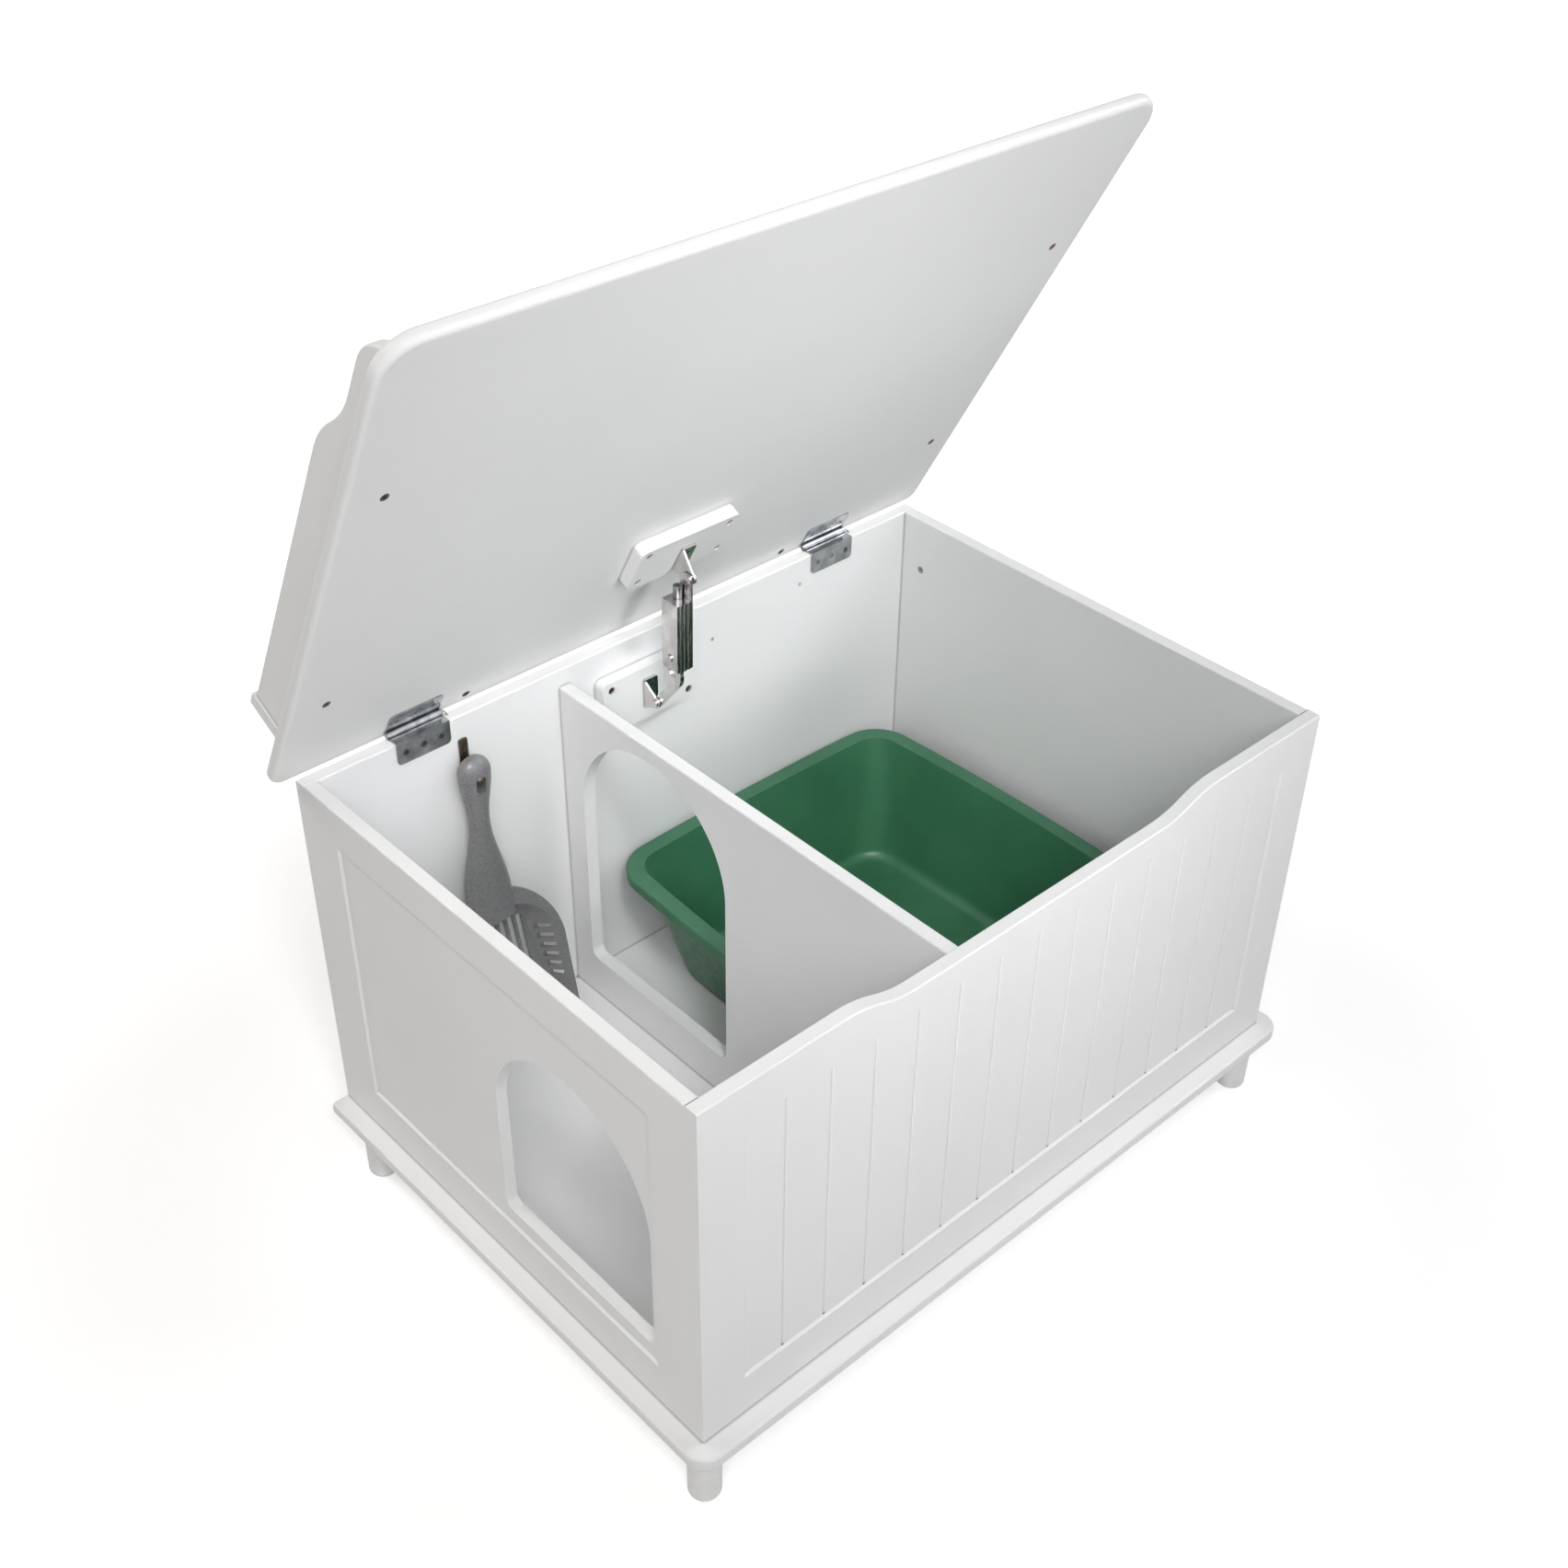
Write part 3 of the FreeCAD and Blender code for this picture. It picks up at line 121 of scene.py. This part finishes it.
class Finish:
    """A Principled material whose patterns read Object coordinates."""

    def __init__(self, name):
        self.material = bpy.data.materials.new(name)
        self.material.use_nodes = True
        self.nodes = self.material.node_tree.nodes
        self.links = self.material.node_tree.links
        self.shader = self.nodes["Principled BSDF"]
        self.place = self.nodes.new("ShaderNodeTexCoord").outputs["Object"]

    def set(self, **values):
        """Sets the shader's own sockets; an underscore stands for a space."""
        for name, value in values.items():
            self.shader.inputs[name.replace("_", " ")].default_value = value
        return self

    def noise(self, scale, detail, stretch=(1.0, 1.0, 1.0)):
        """Noise pattern; scale is in features per metre, divided by stretch along each axis."""
        mapping = self.nodes.new("ShaderNodeMapping")
        mapping.inputs["Scale"].default_value = [1.0 / value for value in stretch]
        self.links.new(self.place, mapping.inputs["Vector"])
        pattern = self.nodes.new("ShaderNodeTexNoise")
        pattern.inputs["Scale"].default_value = scale
        pattern.inputs["Detail"].default_value = detail
        self.links.new(mapping.outputs["Vector"], pattern.inputs["Vector"])
        return pattern.outputs["Fac"]

    def spread(self, pattern, low, high, from_low=NOISE_LOW, from_high=NOISE_HIGH):
        """Turns a pattern into a number between low and high."""
        ranger = self.nodes.new("ShaderNodeMapRange")
        ranger.inputs["From Min"].default_value = from_low
        ranger.inputs["From Max"].default_value = from_high
        ranger.inputs["To Min"].default_value = low
        ranger.inputs["To Max"].default_value = high
        self.links.new(pattern, ranger.inputs["Value"])
        return ranger.outputs["Result"]

    def colour(self, pattern, dark, light):
        """Lets the base colour wander between two tones."""
        mix = self.nodes.new("ShaderNodeMix")
        mix.data_type = "RGBA"
        colour_inputs = [socket for socket in mix.inputs if socket.type == "RGBA"]
        colour_inputs[0].default_value = dark
        colour_inputs[1].default_value = light
        self.links.new(self.spread(pattern, 0.0, 1.0), mix.inputs["Factor"])
        self.tint = [socket for socket in mix.outputs if socket.type == "RGBA"][0]
        self.links.new(self.tint, self.shader.inputs["Base Color"])
        return self

    def painted_crease_shade(self, reach, darkest):
        """Painted shade: darkens the colour in grooves, holes and joints, where shade falls;
        reach is in metres.
        """
        hidden = self.nodes.new("ShaderNodeAmbientOcclusion")
        hidden.samples = CREASE_SHADE_SAMPLES
        hidden.inputs["Distance"].default_value = reach
        shade = self.nodes.new("ShaderNodeVectorMath")
        shade.operation = "SCALE"
        self.links.new(self.tint, shade.inputs[0])
        amount = self.spread(hidden.outputs["AO"], darkest, 1.0, CREASE_SHADE_LOW, CREASE_SHADE_HIGH)
        self.links.new(amount, shade.inputs["Scale"])
        self.links.new(shade.outputs["Vector"], self.shader.inputs["Base Color"])
        return self

    def roughness(self, pattern, low, high):
        """Lets the roughness wander between low and high."""
        self.links.new(self.spread(pattern, low, high), self.shader.inputs["Roughness"])
        return self

    def bump(self, pattern, depth, strength):
        """Raises the surface by the pattern; depth is in metres."""
        bump = self.nodes.new("ShaderNodeBump")
        bump.inputs["Strength"].default_value = strength
        bump.inputs["Distance"].default_value = depth
        self.links.new(pattern, bump.inputs["Height"])
        self.links.new(bump.outputs["Normal"], self.shader.inputs["Normal"])
        return self


def painted_board():
    """Satin paint with very slight orange peel."""
    finish = Finish("painted_board")
    finish.colour(finish.noise(scale=4.0, detail=4.0), PAINT_DARK, PAINT_LIGHT)
    # Painted shade: the paint's colour is darkened in its grooves, joints and screw holes,
    # where shade falls
    finish.painted_crease_shade(reach=3.5 * MM, darkest=0.30)
    finish.roughness(finish.noise(scale=30.0, detail=3.0), low=0.42, high=0.52)
    finish.bump(finish.noise(scale=420.0, detail=2.0), depth=0.12 * MM, strength=0.35)
    return finish.material


def foot_plastic():
    finish = Finish("foot_plastic")
    finish.colour(finish.noise(scale=60.0, detail=3.0), FOOT_DARK, FOOT_LIGHT)
    finish.roughness(finish.noise(scale=90.0, detail=2.0), low=0.40, high=0.55)
    finish.bump(finish.noise(scale=900.0, detail=2.0), depth=0.05 * MM, strength=0.30)
    return finish.material


def pan_plastic():
    finish = Finish("pan_plastic")
    finish.colour(finish.noise(scale=14.0, detail=4.0), PAN_DARK, PAN_LIGHT)
    # Painted shade: the pan's colour is darkened in its corners and creases, where shade falls
    finish.painted_crease_shade(reach=6.0 * MM, darkest=0.55)
    finish.roughness(finish.noise(scale=120.0, detail=3.0), low=0.30, high=0.42)
    finish.bump(finish.noise(scale=1100.0, detail=2.0), depth=0.05 * MM, strength=0.35)
    return finish.material


def scoop_plastic():
    """Satin plastic with a slight sheen on top."""
    finish = Finish("scoop_plastic").set(Coat_Weight=0.45, Coat_Roughness=0.22)
    finish.colour(finish.noise(scale=500.0, detail=2.0), SCOOP_DARK, SCOOP_LIGHT)
    # Painted shade: the scoop's colour is darkened in its slots and creases, where shade falls
    finish.painted_crease_shade(reach=6.0 * MM, darkest=0.55)
    finish.roughness(finish.noise(scale=200.0, detail=3.0), low=0.30, high=0.42)
    finish.bump(finish.noise(scale=1300.0, detail=2.0), depth=0.04 * MM, strength=0.30)
    return finish.material


def metal(name, dark, light, smoothest, roughest, stretch=(1.0, 1.0, 1.0)):
    """Plated metal with fine streaks, drawn out along the axis that stretch names."""
    finish = Finish(name).set(Metallic=1.0)
    streaks = finish.noise(scale=1800.0, detail=3.0, stretch=stretch)
    finish.colour(finish.noise(scale=70.0, detail=4.0), dark, light)
    # Painted shade: the metal's colour is darkened in the gaps between knuckles, leaves and
    # heads, where shade falls
    finish.painted_crease_shade(reach=2.0 * MM, darkest=0.35)
    finish.roughness(streaks, smoothest, roughest)
    finish.bump(streaks, depth=0.02 * MM, strength=0.25)
    return finish.material


PAINT = painted_board()
FOOT = foot_plastic()
PAN = pan_plastic()
SCOOP = scoop_plastic()
HINGE_ZINC = metal("hinge_zinc", HINGE_DARK, HINGE_LIGHT, 0.10, 0.24, stretch=(40.0, 1.0, 1.0))
HEAD_ZINC = metal("screw_zinc", HEAD_DARK, HEAD_LIGHT, 0.20, 0.36)
HEAD_BROWN = metal("screw_brown", BROWN_DARK, BROWN_LIGHT, 0.28, 0.42)
STAY_ZINC = metal("stay_zinc", STAY_DARK, STAY_LIGHT, 0.12, 0.28, stretch=(1.0, 1.0, 40.0))
BRONZE = metal("strap_bronze", BRONZE_DARK, BRONZE_LIGHT, 0.25, 0.42, stretch=(1.0, 1.0, 20.0))


def dress_nodes():
    """Gives every carried-over node its finish."""
    for name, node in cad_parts.items():
        if name.startswith("scoop_hanger"):
            finish = BRONZE
        elif name == "scoop":
            finish = SCOOP
        elif name == "litter_pan":
            finish = PAN
        elif name.startswith("foot_"):
            finish = FOOT
        elif name in ("wall_block_screws", "lid_block_screws", "lid_rail_screws"):
            finish = HEAD_BROWN
        elif name.endswith(("screw", "screws")) or name == "stay_adjuster":
            finish = HEAD_ZINC
        elif name.startswith("hinge_"):
            finish = HINGE_ZINC
        elif name.startswith("stay_") or "bracket" in name or "rivet" in name:
            finish = STAY_ZINC
        else:
            finish = PAINT
        node.data.materials.clear()
        node.data.materials.append(finish)


dress_nodes()


# ---------------------------------------------------------------- small fittings

def add_piece(name, shape, finish, body):
    """Makes a finished piece from the mesh being shaped."""
    bmesh.ops.recalc_face_normals(shape, faces=shape.faces)
    mesh = bpy.data.meshes.new(name)
    shape.to_mesh(mesh)
    shape.free()
    mesh.materials.append(finish)
    piece = bpy.data.objects.new(name, mesh)
    bpy.context.scene.collection.objects.link(piece)
    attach(piece, body)


def add_pin_tail(side):
    """The bent end of a hinge pin, which shows past the right end of its barrel."""
    low, high = [Vector(corner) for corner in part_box("hinge_%s_pin" % side)]
    barrel_end = Vector((high.x, (low.y + high.y) / 2, (low.z + high.z) / 2))
    shape = bmesh.new()
    bmesh.ops.create_circle(shape, cap_ends=True, segments=TAIL_SIDES, radius=TAIL_THICK / 2)
    quarter_turn = Matrix.Rotation(math.radians(90.0), 3, "Y")
    bmesh.ops.rotate(shape, verts=shape.verts, matrix=quarter_turn)
    start = barrel_end - Vector((TAIL_SINK, 0.0, 0.0))
    bmesh.ops.translate(shape, verts=shape.verts, vec=start)
    face = list(shape.faces)
    for step in TAIL_STEPS:
        grown = bmesh.ops.extrude_face_region(shape, geom=face)["geom"]
        moved = [item for item in grown if isinstance(item, bmesh.types.BMVert)]
        bmesh.ops.translate(shape, verts=moved, vec=step)
        bmesh.ops.delete(shape, geom=face, context="FACES_ONLY")
        face = [item for item in grown if isinstance(item, bmesh.types.BMFace)]
    add_piece("hinge_%s_pin_tail" % side, shape, BRONZE, "cabinet")


for hinge_side in ("left", "right"):
    add_pin_tail(hinge_side)


# ---------------------------------------------------------------- studio

def camera_matrix():
    """Place and turn of the camera, from its two angles and its roll."""
    azimuth, elevation = math.radians(CAMERA_AZIMUTH), math.radians(CAMERA_ELEVATION)
    roll = math.radians(CAMERA_ROLL)
    back = Vector((math.sin(azimuth) * math.cos(elevation),
                   -math.cos(azimuth) * math.cos(elevation), math.sin(elevation)))
    level_right = Vector((0.0, 0.0, 1.0)).cross(back).normalized()
    level_up = back.cross(level_right)
    right = level_right * math.cos(roll) + level_up * math.sin(roll)
    up = level_up * math.cos(roll) - level_right * math.sin(roll)
    turn = Matrix((right, up, back)).transposed().to_4x4()
    return Matrix.Translation(CAMERA_PLACE) @ turn


def make_camera():
    lens = bpy.data.cameras.new("camera")
    lens.sensor_fit = "HORIZONTAL"
    lens.sensor_width = CAMERA_SENSOR
    lens.lens = CAMERA_LENS
    lens.clip_end = CAMERA_REACH
    camera = bpy.data.objects.new("camera", lens)
    camera.matrix_world = camera_matrix()
    bpy.context.scene.collection.objects.link(camera)
    bpy.context.scene.camera = camera


def soft_lamp(name, place, target, width, power, colour, spread):
    """A round lamp that points at the target."""
    lamp = bpy.data.lights.new(name, "AREA")
    lamp.shape = "DISK"
    lamp.size = width
    lamp.energy = power
    lamp.spread = math.radians(spread)
    lamp.color = colour
    lamp_object = bpy.data.objects.new(name, lamp)
    lamp_object.location = place
    towards = Vector(target) - Vector(place)
    lamp_object.rotation_euler = towards.to_track_quat("-Z", "Y").to_euler()
    bpy.context.scene.collection.objects.link(lamp_object)


def make_sky():
    """Even light for the object; white where the camera or a reflection sees it."""
    world = bpy.data.worlds.new("studio")
    world.use_nodes = True
    nodes, links = world.node_tree.nodes, world.node_tree.links
    nodes.clear()
    output = nodes.new("ShaderNodeOutputWorld")
    path = nodes.new("ShaderNodeLightPath")
    seen = nodes.new("ShaderNodeMath")
    seen.operation = "MAXIMUM"
    links.new(path.outputs["Is Camera Ray"], seen.inputs[0])
    links.new(path.outputs["Is Glossy Ray"], seen.inputs[1])
    mix = nodes.new("ShaderNodeMixShader")
    light = nodes.new("ShaderNodeBackground")
    light.inputs["Strength"].default_value = SKY_STRENGTH
    white = nodes.new("ShaderNodeBackground")
    links.new(seen.outputs[0], mix.inputs["Fac"])
    links.new(light.outputs[0], mix.inputs[1])
    links.new(white.outputs[0], mix.inputs[2])
    for background in (light, white):
        background.inputs["Color"].default_value = WHITE
    links.new(mix.outputs[0], output.inputs["Surface"])
    bpy.context.scene.world = world


def make_floor():
    """Pale floor; for the camera alone, it grows lighter away from the object."""
    shape = bmesh.new()
    bmesh.ops.create_grid(shape, x_segments=1, y_segments=1, size=FLOOR_SIZE / 2)
    mesh = bpy.data.meshes.new("floor")
    shape.to_mesh(mesh)
    shape.free()
    floor = bpy.data.objects.new("floor", mesh)
    bpy.context.scene.collection.objects.link(floor)
    material = bpy.data.materials.new("floor")
    material.use_nodes = True
    nodes, links = material.node_tree.nodes, material.node_tree.links
    nodes.clear()
    output = nodes.new("ShaderNodeOutputMaterial")
    matt = nodes.new("ShaderNodeBsdfDiffuse")
    matt.inputs["Color"].default_value = FLOOR_COLOUR
    lift = nodes.new("ShaderNodeEmission")
    path = nodes.new("ShaderNodeLightPath")
    amount = nodes.new("ShaderNodeMath")
    amount.operation = "MULTIPLY"
    distance = nodes.new("ShaderNodeVectorMath")
    distance.operation = "LENGTH"
    links.new(nodes.new("ShaderNodeTexCoord").outputs["Object"], distance.inputs[0])
    growth = nodes.new("ShaderNodeMapRange")
    growth.interpolation_type = "SMOOTHSTEP"
    growth.inputs["From Min"].default_value = FLOOR_NEAR
    growth.inputs["From Max"].default_value = FLOOR_FAR
    growth.inputs["To Min"].default_value = FLOOR_LIFT_NEAR
    growth.inputs["To Max"].default_value = FLOOR_LIFT_FAR
    links.new(distance.outputs["Value"], growth.inputs["Value"])
    links.new(growth.outputs["Result"], amount.inputs[1])
    links.new(path.outputs["Is Camera Ray"], amount.inputs[0])
    links.new(amount.outputs[0], lift.inputs["Strength"])
    both = nodes.new("ShaderNodeAddShader")
    links.new(matt.outputs[0], both.inputs[0])
    links.new(lift.outputs[0], both.inputs[1])
    links.new(both.outputs[0], output.inputs["Surface"])
    mesh.materials.append(material)


make_camera()
make_sky()
make_floor()
for lamp_values in LAMPS:
    soft_lamp(*lamp_values)
bpy.context.scene.view_settings.view_transform = "Standard"
